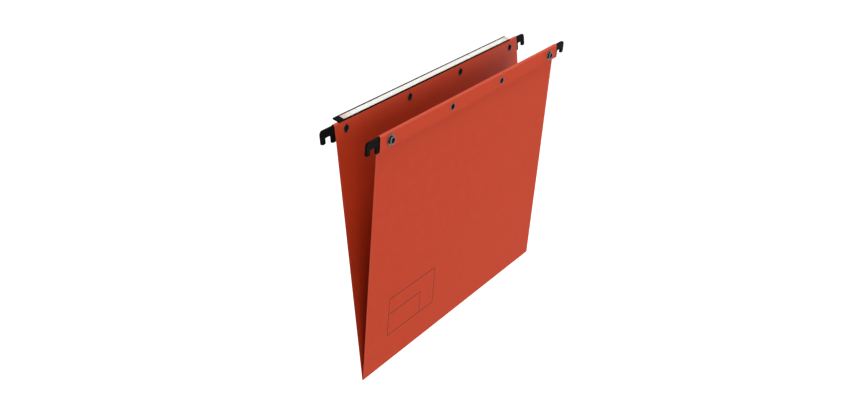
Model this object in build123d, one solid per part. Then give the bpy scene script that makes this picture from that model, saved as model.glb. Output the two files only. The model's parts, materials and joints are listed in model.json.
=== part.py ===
"""Hanging file folder: a V of kraft card that hangs by four hooks on a pair of drawer rails.

The two halves of the sheet are alike, so each is worked out in a half frame: x along the fold, y outward
from the fold's axis, z up the panel from the fold's axis. The finished pieces lean apart about the fold.
The model's origin lies midway between the four hook seats. +X runs along the fold, -Y is the front, +Z up.
Millimetres and degrees.
"""
import os
from math import cos, degrees, radians, sin

from build123d import *

# Card sheet
card_width = 313.2
card_thickness = 0.3
panel_height = 250.0
hem_height = 14.5
fold_gap = 0.2
lean_angle = 5.07

# Stiffening rail inside each hem: a folded channel, open at the bottom
rail_thickness = 3.1
rail_height = 13.4
rail_wall = 0.4
rail_end_inset = 1.1
rail_clearance = 0.05

# Moulded hooks, each a flat plate that fills the rail's channel
notch_beyond_card = 8.4
notch_width = 8.4
hook_top_drop = 0.8
hook_bar_height = 7.4
outer_leg_width = 5.3
outer_leg_drop = 5.1
inner_leg_drop = 7.3
hook_rail_gap = 0.2
hook_crown_radius = 3.8
hook_tip_radius = 1.6
inner_leg_radius = 1.0
notch_corner_radius = 1.0
hook_edge_round = 0.3
tongue_clearance = 0.05
tongue_past_stud = 13.5
tongue_height = 11.4
tongue_tip_radius = 3.0

# Fasteners through the hem, at one height on both halves
fastener_drop = 8.0
stud_inset = 15.4
rivet_inset = 112.6
tube_radius = 2.8
tube_wall = 0.25
tube_hole_clearance = 0.05
tube_flange_reach = 0.9
tube_flange_height = 0.4
tube_collar_reach = 0.35
tube_collar_height = 0.3
tube_mouth_depth = 0.35
tube_collar_clearance = 0.2

# Male press stud
stud_base_margin = 0.75
stud_base_thickness = 0.4
stud_bead_radius = 0.35
stud_cavity_clearance = 0.1
stud_wall = 0.3
stud_bulge = 0.25
stud_shoulder_height = 0.25
stud_bulb_height = 0.5
stud_crown_height = 0.35
stud_lip_reach = 0.65
stud_lip_thickness = 0.3

# Female press stud and its ring spring
socket_base_margin = 1.1
socket_base_thickness = 0.4
socket_flange_height = 0.6
socket_upper_land = 0.5
socket_wall = 0.4
socket_edge_round = 0.3
spring_wire_radius = 0.25
spring_reach = 0.2
spring_room = 0.1
spring_side_clearance = 0.1
spring_gap = 2.35
snap_clearance = 0.1
snap_tip_clearance = 0.1
snap_seat_clearance = 0.05

# Label holder on the rear hem, with its label and clear cover
holder_tilt = 20.0
holder_width = 7.6
holder_overhang = 0.5
holder_floor = 0.6
holder_rim_height = 0.85
holder_near_rim = 0.55
holder_far_rim = 1.3
holder_rim_undercut = 0.2
holder_hem_gap = 0.05
holder_left_inset = 6.6
holder_right_inset = 14.1
holder_stop_length = 6.5
holder_leg_thickness = 0.9
holder_leg_gap = 10.3
holder_leg_drop = 13.5
holder_leg_round = 2.0
holder_leg_root = 0.12
label_thickness = 0.2
label_side_clearance = 0.15
label_end_clearance = 0.4
cover_clearance = 0.05
cover_crown = 0.25
slide_inset = 0.5

# Levels and layers that the pieces share
inner_face = fold_gap
card_outer_face = inner_face + card_thickness
rail_inner_face = card_outer_face + rail_clearance
rail_outer_face = rail_inner_face + rail_thickness
flap_inner_face = rail_outer_face + rail_clearance
hem_face = flap_inner_face + card_thickness
hem_thickness = hem_face - inner_face
hem_middle = (inner_face + hem_face) / 2
hem_round = hem_thickness / 2
hem_round_level = panel_height - hem_round
flap_bottom = panel_height - hem_height
rail_round = rail_thickness / 2
rail_bottom = hem_round_level + rail_round - rail_height
hook_thickness = rail_thickness - 2 * rail_wall - 2 * tongue_clearance
fastener_level = panel_height - fastener_drop
hook_top = panel_height - hook_top_drop
notch_roof = hook_top - hook_bar_height
tube_hole_radius = tube_radius + tube_hole_clearance
tube_bore_radius = tube_radius - tube_wall
tube_flange_radius = tube_radius + tube_flange_reach
tube_collar_radius = tube_radius + tube_collar_reach
rail_spacing = card_width + 2 * notch_beyond_card
stud_spacing = card_width - 2 * stud_inset
rivet_spacing = card_width - 2 * rivet_inset
lean = radians(lean_angle)
seat_level = notch_roof * cos(lean) - hem_middle * sin(lean)

# A stud snaps home with the socket's drum on its base, the spring behind its bulb, its tip off the floor
stud_cavity_radius = tube_collar_radius + stud_cavity_clearance
stud_mouth_radius = stud_cavity_radius - stud_lip_reach
stud_neck_radius = stud_cavity_radius + stud_wall
stud_bulb_radius = stud_neck_radius + stud_bulge
socket_bore_radius = stud_bulb_radius + snap_clearance
groove_height = 2 * (spring_wire_radius + spring_side_clearance)
groove_radius = socket_bore_radius - spring_reach + 2 * spring_wire_radius + spring_room
drum_radius = groove_radius + socket_wall
stud_base_radius = drum_radius + snap_seat_clearance + stud_base_margin
socket_base_radius = drum_radius + socket_base_margin
stud_neck_level = stud_base_thickness + socket_upper_land + groove_height / 2
stud_bulb_level = stud_neck_level + stud_shoulder_height
stud_crown_level = stud_bulb_level + stud_bulb_height
stud_top = stud_crown_level + stud_crown_height
socket_floor = socket_base_thickness + tube_collar_height + tube_collar_clearance
drum_top = socket_floor + stud_top - stud_base_thickness + snap_tip_clearance
groove_top = drum_top - socket_upper_land
groove_bottom = groove_top - groove_height

# Places of the two halves. The front half is the rear half turned about the vertical through the fold.
rear_place = Pos(0, 0, -seat_level) * Rot(X=-lean_angle)
front_place = Pos(0, 0, -seat_level) * Rot(Z=180) * Rot(X=-lean_angle)
other_end = Pos(0, 2 * hem_middle, 0) * Rot(Z=180)


def along_x(section, length, centre=0.0):
    """Extrudes a section drawn in y and z along x, to both sides of a centre."""
    return Pos(centre, 0, 0) * extrude(Plane.YZ * section, length / 2, both=True)


def turned(*edges):
    """Revolves a closed outline of radius and height about the height axis."""
    return revolve(Plane.XZ * make_face(edges), Axis.Z)


def through_hem(x, level_outward):
    """Place on the hem where a fastener's axis leaves the given layer, pointing outward."""
    return Pos(x, level_outward, fastener_level) * Rot(X=-90)


def hem_holes(spacings):
    """Clearance holes through the whole hem for the fasteners' tubes."""
    holes = []
    for spacing in spacings:
        for x in (-spacing / 2, spacing / 2):
            holes.append(through_hem(x, hem_middle) * Cylinder(tube_hole_radius, 2 * hem_thickness))
    return holes


def card_half():
    """One half of the sheet: the panel, the round fold over the rail and the flap outside it."""
    fold_inside = hem_round - card_thickness
    section = make_face([
        Line((inner_face, 0), (inner_face, hem_round_level)),
        ThreePointArc((inner_face, hem_round_level), (hem_middle, panel_height),
                      (hem_face, hem_round_level)),
        Line((hem_face, hem_round_level), (hem_face, flap_bottom)),
        Line((hem_face, flap_bottom), (flap_inner_face, flap_bottom)),
        Line((flap_inner_face, flap_bottom), (flap_inner_face, hem_round_level)),
        ThreePointArc((flap_inner_face, hem_round_level), (hem_middle, hem_round_level + fold_inside),
                      (card_outer_face, hem_round_level)),
        Line((card_outer_face, hem_round_level), (card_outer_face, 0)),
        Line((card_outer_face, 0), (inner_face, 0)),
    ])
    return along_x(section, card_width) - hem_holes([stud_spacing, rivet_spacing])


def bottom_crease():
    """The bent strip of card about the fold's axis, from one half's lower edge to the other's."""
    start = 180 + lean_angle
    turn = 180 - 2 * lean_angle
    inside = CenterArc((0, 0), fold_gap, start, turn)
    outside = CenterArc((0, 0), fold_gap + card_thickness, start, turn)
    section = make_face([inside, outside, Line(inside @ 0, outside @ 0), Line(inside @ 1, outside @ 1)])
    return Pos(0, 0, -seat_level) * along_x(section, card_width)


def rail():
    """Steel channel with a round top and an open bottom."""
    wall_inside = rail_round - rail_wall
    cavity_inner = rail_inner_face + rail_wall
    cavity_outer = rail_outer_face - rail_wall
    section = make_face([
        Line((rail_inner_face, rail_bottom), (rail_inner_face, hem_round_level)),
        ThreePointArc((rail_inner_face, hem_round_level), (hem_middle, hem_round_level + rail_round),
                      (rail_outer_face, hem_round_level)),
        Line((rail_outer_face, hem_round_level), (rail_outer_face, rail_bottom)),
        Line((rail_outer_face, rail_bottom), (cavity_outer, rail_bottom)),
        Line((cavity_outer, rail_bottom), (cavity_outer, hem_round_level)),
        ThreePointArc((cavity_outer, hem_round_level), (hem_middle, hem_round_level + wall_inside),
                      (cavity_inner, hem_round_level)),
        Line((cavity_inner, hem_round_level), (cavity_inner, rail_bottom)),
        Line((cavity_inner, rail_bottom), (rail_inner_face, rail_bottom)),
    ])
    return along_x(section, card_width - 2 * rail_end_inset) - hem_holes([stud_spacing, rivet_spacing])


def hook():
    """Hook at the +x end: a head with an inverted-U notch, and a tongue that runs back inside the rail."""
    head_start = card_width / 2 - rail_end_inset + hook_rail_gap
    notch_start = (rail_spacing - notch_width) / 2
    notch_end = (rail_spacing + notch_width) / 2
    head_end = notch_end + outer_leg_width
    corners = {
        "root top": (head_start, hook_top),
        "crown": (head_end, hook_top),
        "tip outside": (head_end, notch_roof - outer_leg_drop),
        "tip inside": (notch_end, notch_roof - outer_leg_drop),
        "notch outside": (notch_end, notch_roof),
        "notch inside": (notch_start, notch_roof),
        "leg outside": (notch_start, notch_roof - inner_leg_drop),
        "leg inside": (head_start, notch_roof - inner_leg_drop),
    }
    rounds = {
        "crown": hook_crown_radius,
        "tip outside": hook_tip_radius,
        "tip inside": hook_tip_radius,
        "notch outside": notch_corner_radius,
        "notch inside": notch_corner_radius,
        "leg outside": inner_leg_radius,
    }
    outline = make_face(Polyline(*corners.values(), close=True))
    for corner, radius in rounds.items():
        outline = fillet(outline.vertices().sort_by_distance(corners[corner])[0], radius)
    head = Pos(0, hem_middle, 0) * extrude(Plane.XZ * outline, hook_thickness / 2, both=True)
    faces = head.faces().filter_by(Axis.Y)
    head = fillet([edge for face in faces for edge in face.edges()], hook_edge_round)

    tongue_start = stud_spacing / 2 - tongue_past_stud
    tongue_end = card_width / 2
    blank = Pos((tongue_start + tongue_end) / 2, hem_round_level - tongue_height / 2) * Rectangle(
        tongue_end - tongue_start, tongue_height)
    blank = fillet(blank.vertices().group_by(Axis.X)[0], tongue_tip_radius)
    tongue = Pos(0, hem_middle, 0) * extrude(Plane.XZ * blank, hook_thickness / 2, both=True)
    return head + tongue - hem_holes([stud_spacing])


def clinched_tube(length, collar_radius, collar_height):
    """Tube riveted over at both ends: a wide flange on the inner face, a collar at the far end."""
    return turned(
        Line((tube_radius, 0), (tube_flange_radius, 0)),
        ThreePointArc((tube_flange_radius, 0),
                      ((tube_radius + tube_flange_radius) / 2, -tube_flange_height),
                      (tube_bore_radius, tube_mouth_depth)),
        Line((tube_bore_radius, tube_mouth_depth), (tube_bore_radius, length - tube_mouth_depth)),
        ThreePointArc((tube_bore_radius, length - tube_mouth_depth),
                      ((tube_radius + collar_radius) / 2, length + collar_height), (collar_radius, length)),
        Line((collar_radius, length), (tube_radius, length)),
        Line((tube_radius, length), (tube_radius, 0)),
    )


def stud():
    """Male press stud: a beaded base and a hollow post with a bulb that snaps past a ring spring."""
    bead_middle = stud_base_radius - stud_bead_radius
    bead_top = 2 * stud_bead_radius
    bead_foot = drum_radius + snap_seat_clearance
    crown_radius = stud_bulb_radius - stud_crown_height
    lip = stud_top - stud_lip_thickness
    return turned(
        Line((tube_hole_radius, 0), (bead_middle, 0)),
        ThreePointArc((bead_middle, 0), (stud_base_radius, stud_bead_radius), (bead_middle, bead_top)),
        Line((bead_middle, bead_top), (bead_foot, stud_base_thickness)),
        Line((bead_foot, stud_base_thickness), (stud_neck_radius, stud_base_thickness)),
        Line((stud_neck_radius, stud_base_thickness), (stud_neck_radius, stud_neck_level)),
        Line((stud_neck_radius, stud_neck_level), (stud_bulb_radius, stud_bulb_level)),
        Line((stud_bulb_radius, stud_bulb_level), (stud_bulb_radius, stud_crown_level)),
        RadiusArc((stud_bulb_radius, stud_crown_level), (crown_radius, stud_top), -stud_crown_height),
        Line((crown_radius, stud_top), (stud_mouth_radius, stud_top)),
        Line((stud_mouth_radius, stud_top), (stud_mouth_radius, lip)),
        Line((stud_mouth_radius, lip), (stud_cavity_radius, lip)),
        Line((stud_cavity_radius, lip), (stud_cavity_radius, stud_base_thickness)),
        Line((stud_cavity_radius, stud_base_thickness), (tube_hole_radius, stud_base_thickness)),
        Line((tube_hole_radius, stud_base_thickness), (tube_hole_radius, 0)),
    )


def socket():
    """Female press stud: a flanged drum with a sunk floor, and a groove in its bore for the ring spring."""
    recess_radius = tube_collar_radius + tube_collar_clearance
    round_level = drum_top - socket_edge_round
    round_radius = drum_radius - socket_edge_round
    return turned(
        Line((tube_hole_radius, 0), (socket_base_radius, 0)),
        Line((socket_base_radius, 0), (socket_base_radius, socket_flange_height)),
        Line((socket_base_radius, socket_flange_height), (drum_radius, socket_flange_height)),
        Line((drum_radius, socket_flange_height), (drum_radius, round_level)),
        RadiusArc((drum_radius, round_level), (round_radius, drum_top), -socket_edge_round),
        Line((round_radius, drum_top), (socket_bore_radius, drum_top)),
        Line((socket_bore_radius, drum_top), (socket_bore_radius, groove_top)),
        Line((socket_bore_radius, groove_top), (groove_radius, groove_top)),
        Line((groove_radius, groove_top), (groove_radius, groove_bottom)),
        Line((groove_radius, groove_bottom), (socket_bore_radius, groove_bottom)),
        Line((socket_bore_radius, groove_bottom), (socket_bore_radius, socket_floor)),
        Line((socket_bore_radius, socket_floor), (recess_radius, socket_floor)),
        Line((recess_radius, socket_floor), (recess_radius, socket_base_thickness)),
        Line((recess_radius, socket_base_thickness), (tube_hole_radius, socket_base_thickness)),
        Line((tube_hole_radius, socket_base_thickness), (tube_hole_radius, 0)),
    )


def ring_spring():
    """Split ring of round wire, lying in the socket's groove and reaching a little into the bore."""
    ring_radius = socket_bore_radius - spring_reach + spring_wire_radius
    wire = Pos(ring_radius, (groove_bottom + groove_top) / 2) * Circle(spring_wire_radius)
    return revolve(Plane.XZ * wire, Axis.Z, revolution_arc=360 - degrees(spring_gap / ring_radius))


# The label channel has its own frame, tilted about the centre of the hem's round: y across, z off the hem
channel_place = Pos(0, hem_middle, hem_round_level) * Rot(X=holder_tilt)
channel_base = hem_round + holder_hem_gap
channel_floor = channel_base + holder_floor
channel_top = channel_floor + holder_rim_height
tilt = radians(holder_tilt)
channel_near = (channel_top * sin(tilt) - hem_round - holder_overhang) / cos(tilt)
channel_middle = channel_near + holder_width / 2
holder_left_reach = card_width / 2 - holder_left_inset
holder_right_reach = card_width / 2 - holder_right_inset
holder_leg_length = stud_spacing - 2 * (socket_base_radius + holder_leg_gap)
pocket_start = holder_stop_length - holder_left_reach
pocket_length = holder_right_reach - pocket_start
pocket_top_width = holder_width - holder_near_rim - holder_far_rim
pocket_foot_width = pocket_top_width + 2 * holder_rim_undercut
pocket_middle = channel_near + holder_near_rim + pocket_top_width / 2


def dovetail(foot_level, top_level, inset, crown=0.0):
    """Section between the channel's leaning rims, held in from them by an inset, with a crowned top."""
    lean_in = holder_rim_undercut / holder_rim_height
    foot = pocket_foot_width / 2 - lean_in * (foot_level - channel_floor) - inset
    top = pocket_foot_width / 2 - lean_in * (top_level - channel_floor) - inset
    sides = [
        Line((pocket_middle - top, top_level), (pocket_middle - foot, foot_level)),
        Line((pocket_middle - foot, foot_level), (pocket_middle + foot, foot_level)),
        Line((pocket_middle + foot, foot_level), (pocket_middle + top, top_level)),
    ]
    ends = (pocket_middle + top, top_level), (pocket_middle - top, top_level)
    if crown:
        return make_face(sides + [ThreePointArc(ends[0], (pocket_middle, top_level + crown), ends[1])])
    return make_face(sides + [Line(*ends)])


def label_holder():
    """Channel with leaning rims, closed at the left and open at the right, on a leg behind the rear hem."""
    length = holder_left_reach + holder_right_reach
    centre = (holder_right_reach - holder_left_reach) / 2
    height = channel_top - channel_base
    block = Pos(channel_middle, channel_base + height / 2) * Rectangle(holder_width, height)
    pocket = dovetail(channel_floor, channel_top + holder_rim_height, 0)
    channel = along_x(block, length, centre) - along_x(pocket, length, centre + holder_stop_length)

    leg_face = hem_face + holder_leg_thickness
    channel_underside = hem_round_level + (channel_base + sin(tilt) * (leg_face - hem_middle)) / cos(tilt)
    root = channel_underside + holder_leg_root
    bottom = panel_height - holder_leg_drop
    plate = Pos(0, (root + bottom) / 2) * Rectangle(holder_leg_length, root - bottom)
    plate = fillet(plate.vertices().group_by(Axis.Y)[0], holder_leg_round)
    leg = Pos(0, leg_face, 0) * extrude(Plane.XZ * plate, holder_leg_thickness)
    return channel_place * channel + leg - hem_leg_holes()


def hem_leg_holes():
    """Clearance holes through the holder's leg for the rear rivets."""
    return [through_hem(x, hem_face) * Cylinder(tube_hole_radius, 4 * holder_leg_thickness)
            for x in (-rivet_spacing / 2, rivet_spacing / 2)]


def label():
    """Paper strip on the floor of the channel."""
    foot = pocket_foot_width - 2 * label_side_clearance
    strip = Pos(pocket_middle, channel_floor + label_thickness / 2) * Rectangle(foot, label_thickness)
    length = pocket_length - label_end_clearance - slide_inset
    return channel_place * along_x(strip, length, pocket_start + label_end_clearance + length / 2)


def label_cover():
    """Clear lens strip between the rims, over the label."""
    underside = channel_floor + label_thickness + cover_clearance
    section = dovetail(underside, channel_top, cover_clearance, cover_crown)
    length = pocket_length - label_end_clearance - slide_inset
    return channel_place * along_x(section, length, pocket_start + label_end_clearance + length / 2)


def build():
    """Every piece of the folder by name, in its place."""
    left_x = {"front": 1, "rear": -1}
    places = {"front": front_place, "rear": rear_place}
    caps = {
        "front": ("stud", stud(), stud_base_thickness),
        "rear": ("socket", socket(), socket_base_thickness),
    }
    rivet_stack = {"front": hem_thickness, "rear": hem_thickness + holder_leg_thickness}
    pieces = {"bottom_crease": bottom_crease()}
    for half, place in places.items():
        cap_name, cap, cap_base = caps[half]
        cap_tube = clinched_tube(hem_thickness + cap_base, tube_collar_radius, tube_collar_height)
        rivet = clinched_tube(rivet_stack[half], tube_flange_radius, tube_flange_height)
        pieces[f"{half}_panel"] = place * card_half()
        pieces[f"{half}_rail"] = place * rail()
        for end, sign in (("left", left_x[half]), ("right", -left_x[half])):
            at_end = place if sign > 0 else place * other_end
            stud_x = sign * stud_spacing / 2
            rivet_x = sign * rivet_spacing / 2
            pieces[f"{half}_{end}_hook"] = at_end * hook()
            pieces[f"{half}_{end}_{cap_name}"] = place * through_hem(stud_x, hem_face) * cap
            pieces[f"{half}_{end}_{cap_name}_back"] = place * through_hem(stud_x, inner_face) * cap_tube
            pieces[f"{half}_{end}_rivet"] = place * through_hem(rivet_x, inner_face) * rivet
            if half == "rear":
                pieces[f"rear_{end}_socket_spring"] = place * through_hem(stud_x, hem_face) * ring_spring()
    pieces["label_holder"] = rear_place * label_holder()
    pieces["label"] = rear_place * label()
    pieces["label_cover"] = rear_place * label_cover()
    return pieces


os.makedirs("parts", exist_ok=True)
for name, piece in build().items():
    export_step(piece, os.path.join("parts", f"{name}.step"))
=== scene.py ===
import json
from math import atan2, ceil, cos, pi, radians, sin

import bpy
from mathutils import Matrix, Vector


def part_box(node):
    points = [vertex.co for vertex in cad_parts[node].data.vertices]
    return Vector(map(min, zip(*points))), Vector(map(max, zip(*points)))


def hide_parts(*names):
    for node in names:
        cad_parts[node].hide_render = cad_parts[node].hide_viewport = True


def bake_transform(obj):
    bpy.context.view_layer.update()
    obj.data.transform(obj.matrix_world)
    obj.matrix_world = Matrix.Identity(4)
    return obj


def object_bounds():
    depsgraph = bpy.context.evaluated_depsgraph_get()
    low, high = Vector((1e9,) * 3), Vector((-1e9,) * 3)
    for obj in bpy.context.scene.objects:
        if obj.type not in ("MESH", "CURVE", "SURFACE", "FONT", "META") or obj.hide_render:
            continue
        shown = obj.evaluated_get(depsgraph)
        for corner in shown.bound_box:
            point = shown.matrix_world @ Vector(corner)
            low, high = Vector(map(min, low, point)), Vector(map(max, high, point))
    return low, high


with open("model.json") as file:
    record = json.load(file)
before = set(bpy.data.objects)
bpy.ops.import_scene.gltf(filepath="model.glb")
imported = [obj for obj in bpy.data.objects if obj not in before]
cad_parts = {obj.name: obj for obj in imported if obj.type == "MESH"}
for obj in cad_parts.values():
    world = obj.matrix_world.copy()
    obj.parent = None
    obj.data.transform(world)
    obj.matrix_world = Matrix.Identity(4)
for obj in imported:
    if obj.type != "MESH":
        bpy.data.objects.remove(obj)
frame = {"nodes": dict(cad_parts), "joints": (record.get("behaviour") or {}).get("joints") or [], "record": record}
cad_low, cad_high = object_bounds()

# Card sheet
card_thickness = 0.0003
hem_height = 0.0145
hole_radius = 0.00285
front_flap_tilt = 0.03

# Unevenness of the panels: two waves, each with its slant across and up the panel and where it starts
wave_height = 0.00012
wave_length = 0.130
wave_slants = ((1.0, 0.4, 0.0), (-0.7, 0.6, 1.3))

# Mesh of the card: how close its lines lie, and half the width of the square round each hole
column_step = 0.008
row_step = 0.008
bend_steps = 14
hole_patch = 0.0045
hole_sides = 32
sharp_angle = radians(40)

# Painted highlight along the top folds, partly also wear, and wear along the side edges: each one's share of the
# pale colour and how far it reaches
fold_painted_highlight = 0.85
fold_highlight_full = 0.0010
fold_highlight_reach = 0.0027
side_wear = 0.35
side_wear_reach = 0.0016

# Blank writing box printed on the front panel, measured from the middle of the card and up from the fold.
# A cross rule parts its upper field from the lower one, and an upright rule ends the lower one.
box_left = -0.1211
box_right = -0.0437
box_low = 0.0305
box_high = 0.0715
box_line = 0.0009
box_cross_up = 0.0539
box_upright_x = -0.0681

# Label: how far the painted reflection of the orange card at each end reaches, fading to the white of the paper
label_left_painted_reflection = 0.016
label_right_painted_reflection = 0.012

# Camera, fitted to the photograph's straight edges
camera_place = (-0.8606, -0.5386, 0.35103)
camera_azimuth = radians(-56.46)
camera_elevation = radians(24.98)
camera_lens = 47.59
camera_sensor = 36.0

# Studio
floor_drop = 0.25
floor_size = 30.0
floor_tones = (0.79, 0.81)
floor_patch = 0.02
floor_roughness = 0.9
floor_glow_near = 0.6
floor_glow_far = 0.74
floor_glow_reach = (1.5, 5.0)
sky_strength = 0.38
lamps = {
    "key": {"place": (0.9, -2.5, 0.25), "size": 1.6, "power": 22.5},
    "fill": {"place": (-1.9, -2.0, 0.1), "size": 1.3, "power": 11.5},
    "top": {"place": (0.2, -0.6, 2.25), "size": 1.0, "power": 27.0},
    "back": {"place": (-0.5, 2.6, 0.3), "size": 1.6, "power": 20.0},
}

# Colours, linear
card_colour = (0.52, 0.040, 0.006)
card_pale = (0.62, 0.10, 0.055)
ink_colour = (0.024, 0.008, 0.005)
plastic_colour = (0.0055, 0.0055, 0.0057)
steel_colour = (0.46, 0.47, 0.48)
nickel_colour = (0.08, 0.08, 0.083)
# Painted light: a lighter copy of the nickel for the studs. Painted shade: a darker copy for the eyelets in the
# pocket.
stud_painted_light_colour = (0.125, 0.123, 0.119)
eyelet_painted_shade_colour = (0.045, 0.044, 0.045)
paper_colour = (0.97, 0.95, 0.89)
painted_reflection_colour = (0.72, 0.44, 0.32)
clear_colour = (0.985, 0.98, 0.97)
white = (1.0, 1.0, 1.0)

# Values of a noise between which most of it lies
noise_span = (0.3, 0.7)

# Card surface: fibres that lie two ways, a faint cloudiness and patchy paleness, which is wear and, on the top
# folds, painted highlight. The pocket's faces are smoother.
fibre_size = 0.0004
fibre_stretch = (6, 1, 1)
fibre_turns = (radians(20), radians(-65))
fibre_depth = 0.00004
cloud_size = 0.012
wear_and_highlight_patch = 0.003
wear_and_highlight_least = 0.6
card_tones = (0.95, 1.05)
card_roughness = (0.70, 0.82)
card_shine = 0.33
pocket_roughness = (0.54, 0.66)
pocket_shine = 0.42
ink_cover = (0.75, 0.95)

# Cut edge of the card: its layers of fibre
layer_size = 0.0003
layer_stretch = (4, 1, 1)
layer_depth = 0.00005
edge_roughness = 0.85

# Plastic surface: the mould's fine grain and long rub marks
grain_size = 0.00035
grain_depth = 0.00002
rub_size = 0.004
rub_stretch = (5, 1, 1)
rub_tones = (0.8, 1.3)
rub_roughness = 0.06
plastic_shine = 0.012
plastics = {"hook_plastic": 0.50, "holder_plastic": 0.45}

# Metal surfaces: scratches along a turned grain and patches of tarnish. Painted shade darkens the metal
# where the surface turns from facing along the fasteners to being a wall, such as that of a bore.
scratch_size = 0.00025
scratch_turn = radians(15)
scratch_depth = 0.00001
scratch_smoother = 0.08
scratch_rougher = 0.1
tarnish_size = 0.0025
tarnish_tones = (0.7, 1.2)
wall_turn = (0.25, 0.6)
metals = {
    "rail_steel": {"colour": steel_colour, "roughness": 0.36, "stretch": (40, 1, 1), "wall_painted_shade": 1.0},
    "spring_steel": {"colour": steel_colour, "roughness": 0.28, "stretch": (12, 1, 1), "wall_painted_shade": 1.0},
    "nickel": {"colour": nickel_colour, "roughness": 0.30, "stretch": (6, 1, 1), "wall_painted_shade": 0.1},
    # The studs' lighter copy of the nickel is painted light; the pocket eyelets' darker copy is painted shade.
    "stud_nickel_painted_light": {"colour": stud_painted_light_colour, "roughness": 0.30, "stretch": (6, 1, 1), "wall_painted_shade": 0.6},
    "eyelet_nickel_painted_shade": {"colour": eyelet_painted_shade_colour, "roughness": 0.34, "stretch": (6, 1, 1), "wall_painted_shade": 0.3},
}

# Label paper
paper_fibre_size = 0.0006
paper_fibre_stretch = (5, 1, 1)
paper_fibre_depth = 0.000005
paper_tones = (0.985, 1.0)
paper_roughness = (0.6, 0.75)

# Clear strip, with faint lines from its drawing
draw_line_size = 0.0004
draw_line_stretch = (120, 1, 1)
draw_line_depth = 0.0000002
clear_roughness = (0.05, 0.07)
clear_refraction = 1.46

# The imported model's own measures: its fold line, the lean of its halves and the reach of its card
mounts = {mount["name"]: mount for mount in frame["record"]["mounts"]}
seat_axis = mounts["rear_left_rail_seat"]["axis"]
lean = atan2(-seat_axis[1], -seat_axis[2])
fold_joint = next(joint for joint in frame["joints"] if joint["name"] == "fold")
fold_level = fold_joint["pos_m"][2]
card_left, card_right = (corner.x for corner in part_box("bottom_crease"))


def half_place(point):
    """How far a row-frame point of the rear half lies outward from the fold and up the panel."""
    up = point.z - fold_level
    return point.y * cos(lean) - up * sin(lean), point.y * sin(lean) + up * cos(lean)


rear_points = [half_place(vertex.co) for vertex in frame["nodes"]["rear_panel"].data.vertices]
inner_face = min(outward for outward, up in rear_points)
hem_face = max(outward for outward, up in rear_points)
panel_height = max(up for outward, up in rear_points)
fasteners = [f"rear_{end}_{kind}" for kind in ("socket_back", "rivet") for end in ("left", "right")]
fastener_x = sorted((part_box(node)[0].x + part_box(node)[1].x) / 2 for node in fasteners)
fastener_level = half_place(sum(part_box("rear_left_socket_back"), Vector()) / 2)[1]

# The sheet laid flat: distances along it from the middle of the bottom crease to the edge of a flap
middle_face = inner_face + card_thickness / 2
hem_middle = (inner_face + hem_face) / 2
hem_bend = hem_middle - middle_face
hem_start = panel_height - (hem_face - inner_face) / 2
crease_half = middle_face * (pi / 2 - lean)
hem_bend_start = crease_half + hem_start
flap_start = hem_bend_start + pi * hem_bend
flap_end = flap_start + hem_start - (panel_height - hem_height)
panel_hole = crease_half + fastener_level
flap_hole = flap_start + hem_start - fastener_level


def wave(x, up):
    """Slight unevenness of a panel, none at its fold, its hem and where the fasteners are."""
    fade = sin(pi * min(max(up / (fastener_level - hole_patch), 0.0), 1.0)) ** 2
    turn = 2 * pi / wave_length
    angles = [turn * (across * x + rise * up) + start for across, rise, start in wave_slants]
    return wave_height * fade * sum(sin(angle) for angle in angles)


def flap_lift(side, up):
    """How far a flap stands off the hem's flat: only the front one does, tilted about its fasteners."""
    return front_flap_tilt * (fastener_level - up) if side < 0 else 0.0


def folded(x, along, offset):
    """Row-frame point of the folded sheet.

    along is positive on the rear half, and offset is the distance off the sheet's middle.
    """
    side = 1 if along >= 0 else -1
    along = abs(along)
    if along < crease_half:
        angle = along / middle_face
        radius = middle_face + offset
        return Vector((x, side * radius * sin(angle), fold_level - radius * cos(angle)))
    up = along - crease_half
    outward = middle_face + offset
    if up <= hem_start:
        outward += wave(x, up) * side
    elif along < flap_start:
        angle = (along - hem_bend_start) / hem_bend
        radius = hem_bend - offset
        lift = flap_lift(side, hem_start) * (1 - cos(angle)) / 2
        outward = hem_middle - radius * cos(angle) + lift
        up = hem_start + radius * sin(angle)
    else:
        up = hem_start - (along - flap_start)
        outward = hem_middle + hem_bend - offset + flap_lift(side, up)
    y = side * (outward * cos(lean) + up * sin(lean))
    return Vector((x, y, fold_level + up * cos(lean) - outward * sin(lean)))


def spread(start, end, step):
    """Even values from start to just before end, at most about a step apart."""
    rounding = 1e-6
    count = max(1, ceil((end - start) / step - rounding))
    return [start + (end - start) * index / count for index in range(count)]


def card_columns():
    """Lines of the sheet's mesh that run along it, and which of them start a strip with holes."""
    columns = []
    strips = []
    start = card_left
    for x in fastener_x:
        columns += spread(start, x - hole_patch, column_step)
        strips.append(len(columns))
        columns.append(x - hole_patch)
        start = x + hole_patch
    return columns + spread(start, card_right, column_step) + [card_right], strips


def card_rows():
    """Lines of the sheet's mesh that run across it, from the front flap to the rear one.

    Also which of them start a strip with holes.
    """
    half = spread(0, crease_half, crease_half / bend_steps)
    half += spread(crease_half, panel_hole - hole_patch, row_step)
    hole_starts = [len(half)]
    half.append(panel_hole - hole_patch)
    half += spread(panel_hole + hole_patch, hem_bend_start, row_step)
    half += spread(hem_bend_start, flap_start, (flap_start - hem_bend_start) / bend_steps)
    half += spread(flap_start, flap_hole - hole_patch, row_step)
    hole_starts.append(len(half))
    half.append(flap_hole - hole_patch)
    half += spread(flap_hole + hole_patch, flap_end, row_step) + [flap_end]
    rows = [-along for along in reversed(half[1:])] + half
    middle = len(half) - 1
    strips = [middle + start for start in hole_starts] + [middle - start - 1 for start in hole_starts]
    return rows, strips


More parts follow.
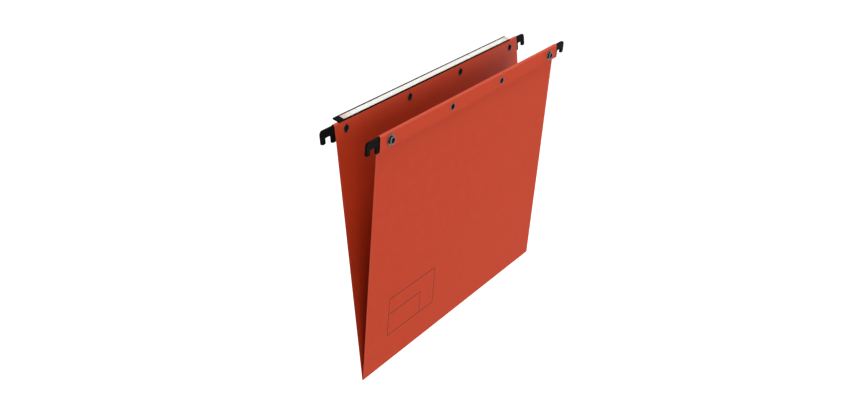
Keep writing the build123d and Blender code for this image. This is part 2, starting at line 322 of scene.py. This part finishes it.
class Sheet:
    """Collects the vertices and faces of the card, as two layers over one flat pattern."""

    def __init__(self):
        self.points = []
        self.flat = []
        self.faces = []
        self.surfaces = []

    def corner(self, x, along):
        """Adds one place of the flat pattern and returns its vertices on the inner and the outer layer."""
        first = len(self.points)
        for offset in (-card_thickness / 2, card_thickness / 2):
            self.points.append(folded(x, along, offset))
            self.flat.append((x, along))
        return first, first + 1

    def patch(self, *corners):
        """Adds a face to both layers. The print is on the front panel's outer face alone."""
        along = sum(self.flat[corner[0]][1] for corner in corners) / len(corners)
        pocket = abs(along) < hem_bend_start
        printed = -hem_bend_start < along < -crease_half
        self.faces.append([inner for inner, outer in corners])
        self.surfaces.append("pocket" if pocket else "face")
        self.faces.append([outer for inner, outer in reversed(corners)])
        self.surfaces.append("printed" if printed else "face")

    def wall(self, start, end):
        """Adds the cut edge between two neighbouring places."""
        self.faces.append([start[0], start[1], end[1], end[0]])
        self.surfaces.append("edge")


def add_hole(sheet, x, along, corners):
    """Fills a square of the pattern round a fastener's hole.

    The corners run anticlockwise from the lower left.
    """
    first_angle = -3 * pi / 4
    ring = []
    for index in range(hole_sides):
        angle = first_angle + 2 * pi * index / hole_sides
        ring.append(sheet.corner(x + hole_radius * cos(angle), along + hole_radius * sin(angle)))
    quarter = hole_sides // 4
    for side, corner in enumerate(corners):
        next_corner = corners[(side + 1) % 4]
        for step in range(quarter):
            index = side * quarter + step
            start, end = ring[index], ring[(index + 1) % hole_sides]
            sheet.wall(start, end)
            sheet.patch(corner if step < quarter // 2 else next_corner, end, start)
        sheet.patch(corner, next_corner, ring[side * quarter + quarter // 2])


def lay_sheet():
    """The whole sheet: a grid with holes for the fasteners, and the cut edge all round it."""
    columns, hole_columns = card_columns()
    rows, hole_rows = card_rows()
    sheet = Sheet()
    grid = [[sheet.corner(x, along) for along in rows] for x in columns]
    for i in range(len(columns) - 1):
        for j in range(len(rows) - 1):
            corners = grid[i][j], grid[i + 1][j], grid[i + 1][j + 1], grid[i][j + 1]
            if i in hole_columns and j in hole_rows:
                add_hole(sheet, (columns[i] + columns[i + 1]) / 2, (rows[j] + rows[j + 1]) / 2, corners)
            else:
                sheet.patch(*corners)
    front_edge = [column[0] for column in grid]
    rear_edge = [column[-1] for column in grid]
    rim = front_edge + grid[-1][1:-1] + rear_edge[::-1] + grid[0][-2:0:-1]
    for start, end in zip(rim, rim[1:] + rim[:1]):
        sheet.wall(end, start)
    return sheet


def make_card(materials):
    """The one sheet of card, from flap to flap, folded over both rails and at the bottom."""
    sheet = lay_sheet()
    mesh = bpy.data.meshes.new("card")
    mesh.from_pydata(sheet.points, [], sheet.faces)
    flat = mesh.uv_layers.new(name="flat")
    for loop in mesh.loops:
        flat.data[loop.index].uv = sheet.flat[loop.vertex_index]
    names = list(materials)
    for material in materials.values():
        mesh.materials.append(material)
    for face, surface in zip(mesh.polygons, sheet.surfaces):
        face.material_index = names.index(surface)
        face.use_smooth = True
    mesh.validate()
    mesh.set_sharp_from_angle(angle=sharp_angle)
    card = bpy.data.objects.new("card", mesh)
    bpy.context.scene.collection.objects.link(card)
    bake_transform(card)
    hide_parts("front_panel", "rear_panel", "bottom_crease")


def feed(tree, node, inputs):
    """Sets a shader node's inputs to values or to other nodes' outputs."""
    for name, value in inputs.items():
        if isinstance(value, bpy.types.NodeSocket):
            tree.links.new(value, node.inputs[name])
        else:
            node.inputs[name].default_value = value


def add(tree, kind, inputs, **settings):
    """Adds a shader node."""
    node = tree.nodes.new(kind)
    for name, value in settings.items():
        setattr(node, name, value)
    feed(tree, node, inputs)
    return node


def calc(tree, operation, *values):
    """One step of arithmetic on numbers or sockets."""
    return add(tree, "ShaderNodeMath", dict(enumerate(values)), operation=operation).outputs[0]


def mean(tree, first, second):
    """The middle of two values."""
    return calc(tree, "MULTIPLY", calc(tree, "ADD", first, second), 0.5)


def noise(tree, place, size, stretch=(1, 1, 1), turn=0.0, detail=2.0):
    """Noise with features of about the given size, drawn out by a stretch along a turned grain."""
    grain = add(tree, "ShaderNodeMapping", {
        "Vector": place, "Rotation": (0, 0, turn), "Scale": [1 / (size * length) for length in stretch],
    }, vector_type="POINT").outputs[0]
    return add(tree, "ShaderNodeTexNoise", {"Vector": grain, "Scale": 1.0, "Detail": detail}).outputs[0]


def ranged(tree, value, low=0.0, high=1.0, span=noise_span):
    """Maps a span of values to a low and a high one."""
    return add(tree, "ShaderNodeMapRange", {
        "Value": value, "From Min": span[0], "From Max": span[1], "To Min": low, "To Max": high,
    }).outputs[0]


def mixed(tree, share, first, second):
    """Blends two colours."""
    node = add(tree, "ShaderNodeMix", {0: share, 6: first, 7: second}, data_type="RGBA")
    return node.outputs[2]


def shaded(colour, share=1.0):
    """An opaque colour, darkened or lightened by a share."""
    return (*(share * value for value in colour), 1.0)


def toned(tree, share, colour, tones):
    """A colour that goes from its darker to its lighter tone."""
    return mixed(tree, share, shaded(colour, tones[0]), shaded(colour, tones[1]))


def bump(tree, height, depth):
    """A bump of the given real depth."""
    return add(tree, "ShaderNodeBump", {"Height": height, "Distance": depth, "Strength": 1.0}).outputs[0]


def object_place(tree):
    """Where a point lies in the piece's own frame."""
    return add(tree, "ShaderNodeTexCoord", {}).outputs["Object"]


def new_material(name):
    """A node material, its tree and its surface shader."""
    material = bpy.data.materials.new(name)
    material.use_nodes = True
    tree = material.node_tree
    shader = next(node for node in tree.nodes if node.type == "BSDF_PRINCIPLED")
    return material, tree, shader


def print_mask(tree, x, up):
    """Where the blank writing box is printed: a thin frame and the two rules that part its fields."""
    def inside(left, right, low, high):
        across = calc(tree, "COMPARE", x, (left + right) / 2, (right - left) / 2)
        along = calc(tree, "COMPARE", up, (low + high) / 2, (high - low) / 2)
        return calc(tree, "MULTIPLY", across, along)

    outer = inside(box_left, box_right, box_low, box_high)
    inner = inside(box_left + box_line, box_right - box_line, box_low + box_line, box_high - box_line)
    frame_mask = calc(tree, "SUBTRACT", outer, inner)
    cross = inside(box_left, box_upright_x, box_cross_up, box_cross_up + box_line)
    upright = inside(box_upright_x, box_upright_x + box_line, box_low, box_cross_up + box_line)
    return calc(tree, "MAXIMUM", frame_mask, calc(tree, "MAXIMUM", cross, upright))


def wear_and_highlight_mask(tree, flat, x, along):
    """How pale the card is: a painted highlight, partly also wear, along the top folds, wear along the side edges,
    and in patches.
    """
    side_gap = calc(tree, "SUBTRACT", card_right, calc(tree, "ABSOLUTE", x))
    top_fold = (hem_bend_start + flap_start) / 2
    fold_gap = calc(tree, "ABSOLUTE", calc(tree, "SUBTRACT", calc(tree, "ABSOLUTE", along), top_fold))
    # Painted highlight: the top folds are painted paler, partly also standing for wear.
    fold_highlight_mask = ranged(tree, fold_gap, fold_painted_highlight, 0.0, (fold_highlight_full, fold_highlight_reach))
    side_worn = ranged(tree, side_gap, side_wear, 0.0, (0.0, side_wear_reach))
    patches = ranged(tree, noise(tree, flat, wear_and_highlight_patch), wear_and_highlight_least, 1.0)
    return calc(tree, "MULTIPLY", calc(tree, "MAXIMUM", fold_highlight_mask, side_worn), patches)


def card_material(name, roughness=card_roughness, shine=card_shine, printed=False):
    """Dyed kraft card: short fibres both ways, a faint cloudiness, and a paler colour along folds and sides:
    painted highlight with wear on the top folds, wear on the sides.
    """
    material, tree, shader = new_material(name)
    flat = add(tree, "ShaderNodeUVMap", {}, uv_map="flat").outputs[0]
    split = add(tree, "ShaderNodeSeparateXYZ", {0: flat})
    x, along = split.outputs[0], split.outputs[1]
    fibres = mean(tree, *(noise(tree, flat, fibre_size, fibre_stretch, turn) for turn in fibre_turns))
    cloud = noise(tree, flat, cloud_size, detail=4.0)
    colour = toned(tree, mean(tree, ranged(tree, fibres), ranged(tree, cloud)), card_colour, card_tones)
    # Blends in the pale colour: painted highlight along the top folds, wear along the side edges.
    colour = mixed(tree, wear_and_highlight_mask(tree, flat, x, along), colour, shaded(card_pale))
    if printed:
        up = calc(tree, "SUBTRACT", calc(tree, "MULTIPLY", along, -1.0), crease_half)
        ink = calc(tree, "MULTIPLY", print_mask(tree, x, up), ranged(tree, fibres, *ink_cover))
        colour = mixed(tree, ink, colour, shaded(ink_colour))
    feed(tree, shader, {
        "Base Color": colour,
        "Roughness": ranged(tree, fibres, *roughness),
        "Specular IOR Level": shine,
        "Normal": bump(tree, fibres, fibre_depth),
    })
    return material


def card_edge_material():
    """The cut edge of the card, paler and rougher than its faces."""
    material, tree, shader = new_material("card_edge")
    layers = noise(tree, object_place(tree), layer_size, layer_stretch)
    feed(tree, shader, {
        "Base Color": mixed(tree, ranged(tree, layers), shaded(card_colour), shaded(card_pale)),
        "Roughness": edge_roughness,
        "Normal": bump(tree, layers, layer_depth),
    })
    return material


def plastic_material(name, roughness):
    """Black moulded plastic with a fine spark-eroded grain and faint rub marks."""
    material, tree, shader = new_material(name)
    place = object_place(tree)
    grain = noise(tree, place, grain_size, detail=3.0)
    rub = noise(tree, place, rub_size, rub_stretch, detail=3.0)
    feed(tree, shader, {
        "Base Color": toned(tree, ranged(tree, rub), plastic_colour, rub_tones),
        "Roughness": ranged(tree, rub, roughness - rub_roughness, roughness + rub_roughness),
        "Specular IOR Level": plastic_shine,
        "Normal": bump(tree, grain, grain_depth),
    })
    return material


def metal_material(name, colour, roughness, stretch, wall_painted_shade):
    """Plated or drawn metal: fine scratches along a grain, uneven polish, and painted shade on walls such as those
    of bores.
    """
    material, tree, shader = new_material(name)
    place = object_place(tree)
    scratches = noise(tree, place, scratch_size, stretch, scratch_turn, detail=3.0)
    tarnish = noise(tree, place, tarnish_size, detail=4.0)
    plating = toned(tree, ranged(tree, tarnish), colour, tarnish_tones)
    # Painted shade: the metal is darker where its surface turns away from the fasteners' axis, on bore walls and
    # post sides.
    normal = add(tree, "ShaderNodeTexCoord", {}).outputs["Normal"]
    across = calc(tree, "ABSOLUTE", add(tree, "ShaderNodeSeparateXYZ", {0: normal}).outputs[1])
    facing = ranged(tree, across, span=wall_turn)
    feed(tree, shader, {
        "Base Color": mixed(tree, facing, shaded(colour, wall_painted_shade), plating),
        "Roughness": ranged(tree, scratches, roughness - scratch_smoother, roughness + scratch_rougher),
        "Metallic": 1.0,
        "Normal": bump(tree, scratches, scratch_depth),
    })
    return material


def label_material():
    """White label paper with a painted reflection of the orange card towards both ends."""
    material, tree, shader = new_material("label_paper")
    place = object_place(tree)
    x = add(tree, "ShaderNodeSeparateXYZ", {0: place}).outputs[0]
    low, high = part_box("label")
    left = ranged(tree, x, 1.0, 0.0, (low.x, low.x + label_left_painted_reflection))
    right = ranged(tree, x, 1.0, 0.0, (high.x, high.x - label_right_painted_reflection))
    fibres = noise(tree, place, paper_fibre_size, paper_fibre_stretch, detail=3.0)
    paper = toned(tree, ranged(tree, fibres), paper_colour, paper_tones)
    feed(tree, shader, {
        # Painted reflection: the orange of the card, as seen through the clear strip's ends, is painted onto both
        # ends of the paper.
        "Base Color": mixed(tree, calc(tree, "MAXIMUM", left, right), paper, shaded(painted_reflection_colour)),
        "Roughness": ranged(tree, fibres, *paper_roughness),
        "Normal": bump(tree, fibres, paper_fibre_depth),
    })
    return material


def clear_material():
    """Clear extruded strip with faint draw lines."""
    material, tree, shader = new_material("clear_plastic")
    lines = noise(tree, object_place(tree), draw_line_size, draw_line_stretch)
    feed(tree, shader, {
        "Base Color": shaded(clear_colour),
        "Transmission Weight": 1.0,
        "IOR": clear_refraction,
        "Roughness": ranged(tree, lines, *clear_roughness),
        "Normal": bump(tree, lines, draw_line_depth),
    })
    return material


def dress_nodes():
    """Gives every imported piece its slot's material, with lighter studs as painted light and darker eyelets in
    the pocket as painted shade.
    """
    looks = {"label_paper": label_material(), "clear_plastic": clear_material()}
    for name, roughness in plastics.items():
        looks[name] = plastic_material(name, roughness)
    for name, metal in metals.items():
        looks[name] = metal_material(name, **metal)
    finishes = {part["node"]: part["material_slot"] for part in frame["record"]["subparts"]}
    # Painted light on the studs and painted shade on the eyelets in the pocket, as lighter and darker copies of
    # the nickel.
    for end in ("left", "right"):
        finishes[f"front_{end}_stud"] = "stud_nickel_painted_light"
        finishes[f"rear_{end}_socket_back"] = "eyelet_nickel_painted_shade"
        finishes[f"rear_{end}_rivet"] = "eyelet_nickel_painted_shade"
    for node, finish in finishes.items():
        if finish in looks:
            piece = frame["nodes"][node]
            piece.data.materials.clear()
            piece.data.materials.append(looks[finish])
    cover = frame["nodes"]["label_cover"]
    cover.visible_shadow = False
    cover.visible_diffuse = False


def seen_directly(tree):
    """1 for rays from the camera and for what metal and glass show, 0 for rays that carry light."""
    path = add(tree, "ShaderNodeLightPath", {})
    seen = calc(tree, "MAXIMUM", path.outputs["Is Camera Ray"], path.outputs["Is Glossy Ray"])
    return calc(tree, "MAXIMUM", seen, path.outputs["Is Transmission Ray"])


def floor_material():
    """Plain white. Its glow only whitens how the floor looks, most of all far off."""
    material, tree, shader = new_material("floor")
    place = object_place(tree)
    patches = noise(tree, place, floor_patch, detail=3.0)
    distance = add(tree, "ShaderNodeVectorMath", {0: place}, operation="LENGTH").outputs["Value"]
    glow = ranged(tree, distance, floor_glow_near, floor_glow_far, floor_glow_reach)
    feed(tree, shader, {
        "Base Color": toned(tree, ranged(tree, patches), white, floor_tones),
        "Roughness": floor_roughness,
        "Specular IOR Level": 0.0,
        "Emission Color": shaded(white),
        "Emission Strength": calc(tree, "MULTIPLY", seen_directly(tree), glow),
    })
    return material


def make_floor():
    """Wide floor below the hanging folder."""
    level = cad_low.z - floor_drop
    reach = floor_size / 2
    corners = [(-reach, -reach, level), (reach, -reach, level), (reach, reach, level), (-reach, reach, level)]
    mesh = bpy.data.meshes.new("floor")
    mesh.from_pydata(corners, [], [(0, 1, 2, 3)])
    mesh.materials.append(floor_material())
    floor = bpy.data.objects.new("floor", mesh)
    bpy.context.scene.collection.objects.link(floor)


def make_sky():
    """Even white surroundings: white to look at, and a plain soft light."""
    world = bpy.data.worlds.new("studio")
    world.use_nodes = True
    tree = world.node_tree
    background = next(node for node in tree.nodes if node.type == "BACKGROUND")
    seen = seen_directly(tree)
    strength = add(tree, "ShaderNodeMix", {0: seen, 2: sky_strength, 3: 1.0}, data_type="FLOAT").outputs[0]
    feed(tree, background, {"Color": shaded(white), "Strength": strength})
    bpy.context.scene.world = world


def make_lamp(name, place, size, power):
    """A large soft lamp, turned to the middle of the folder."""
    light = bpy.data.lights.new(name, "AREA")
    light.size = size
    light.energy = power
    lamp = bpy.data.objects.new(name, light)
    lamp.location = place
    aim = (cad_low + cad_high) / 2 - Vector(place)
    lamp.rotation_euler = aim.to_track_quat("-Z", "Y").to_euler()
    bpy.context.scene.collection.objects.link(lamp)


def make_camera():
    """The photograph's camera."""
    lens = bpy.data.cameras.new("camera")
    lens.lens = camera_lens
    lens.sensor_width = camera_sensor
    camera = bpy.data.objects.new("camera", lens)
    camera.location = camera_place
    level = cos(camera_elevation)
    aim = Vector((-sin(camera_azimuth) * level, cos(camera_azimuth) * level, -sin(camera_elevation)))
    camera.rotation_euler = aim.to_track_quat("-Z", "Y").to_euler()
    bpy.context.scene.collection.objects.link(camera)
    bpy.context.scene.camera = camera


bpy.context.scene.view_settings.view_transform = "Standard"
make_card({
    "face": card_material("card"),
    "pocket": card_material("card_pocket", pocket_roughness, pocket_shine),
    "printed": card_material("card_printed", printed=True),
    "edge": card_edge_material(),
})
dress_nodes()
make_floor()
make_sky()
for lamp_name, lamp in lamps.items():
    make_lamp(lamp_name, **lamp)
make_camera()
